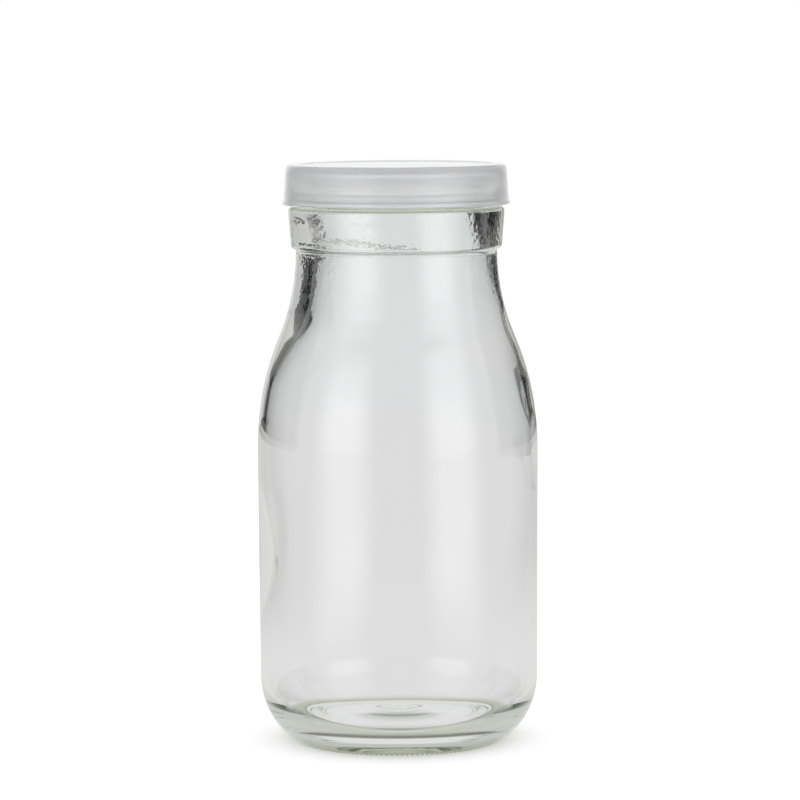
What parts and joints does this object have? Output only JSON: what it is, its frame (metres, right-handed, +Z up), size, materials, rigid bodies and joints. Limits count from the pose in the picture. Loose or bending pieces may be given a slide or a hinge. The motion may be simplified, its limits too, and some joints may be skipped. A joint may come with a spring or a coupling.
{
  "type": "glass milk bottle with push-on lid",
  "caption": "Small round clear glass milk bottle, empty, with sloping shoulders, a collared neck and a translucent plastic push-on lid.",
  "frame": {"origin": "centre of the circle the bottle stands on", "axes": "+Z up along the bottle's axis, +X and +Y level; the bottle is round, so +Y is only the back as stored"},
  "size_m": [0.06, 0.06, 0.1235],
  "materials": {
    "glass": "clear, smooth, faintly green in thick places",
    "lid_plastic": "frosted translucent"
  },
  "bodies": {
    "root": {"bottle": "glass", "lid": "lid_plastic"}
  },
  "joints": []
}
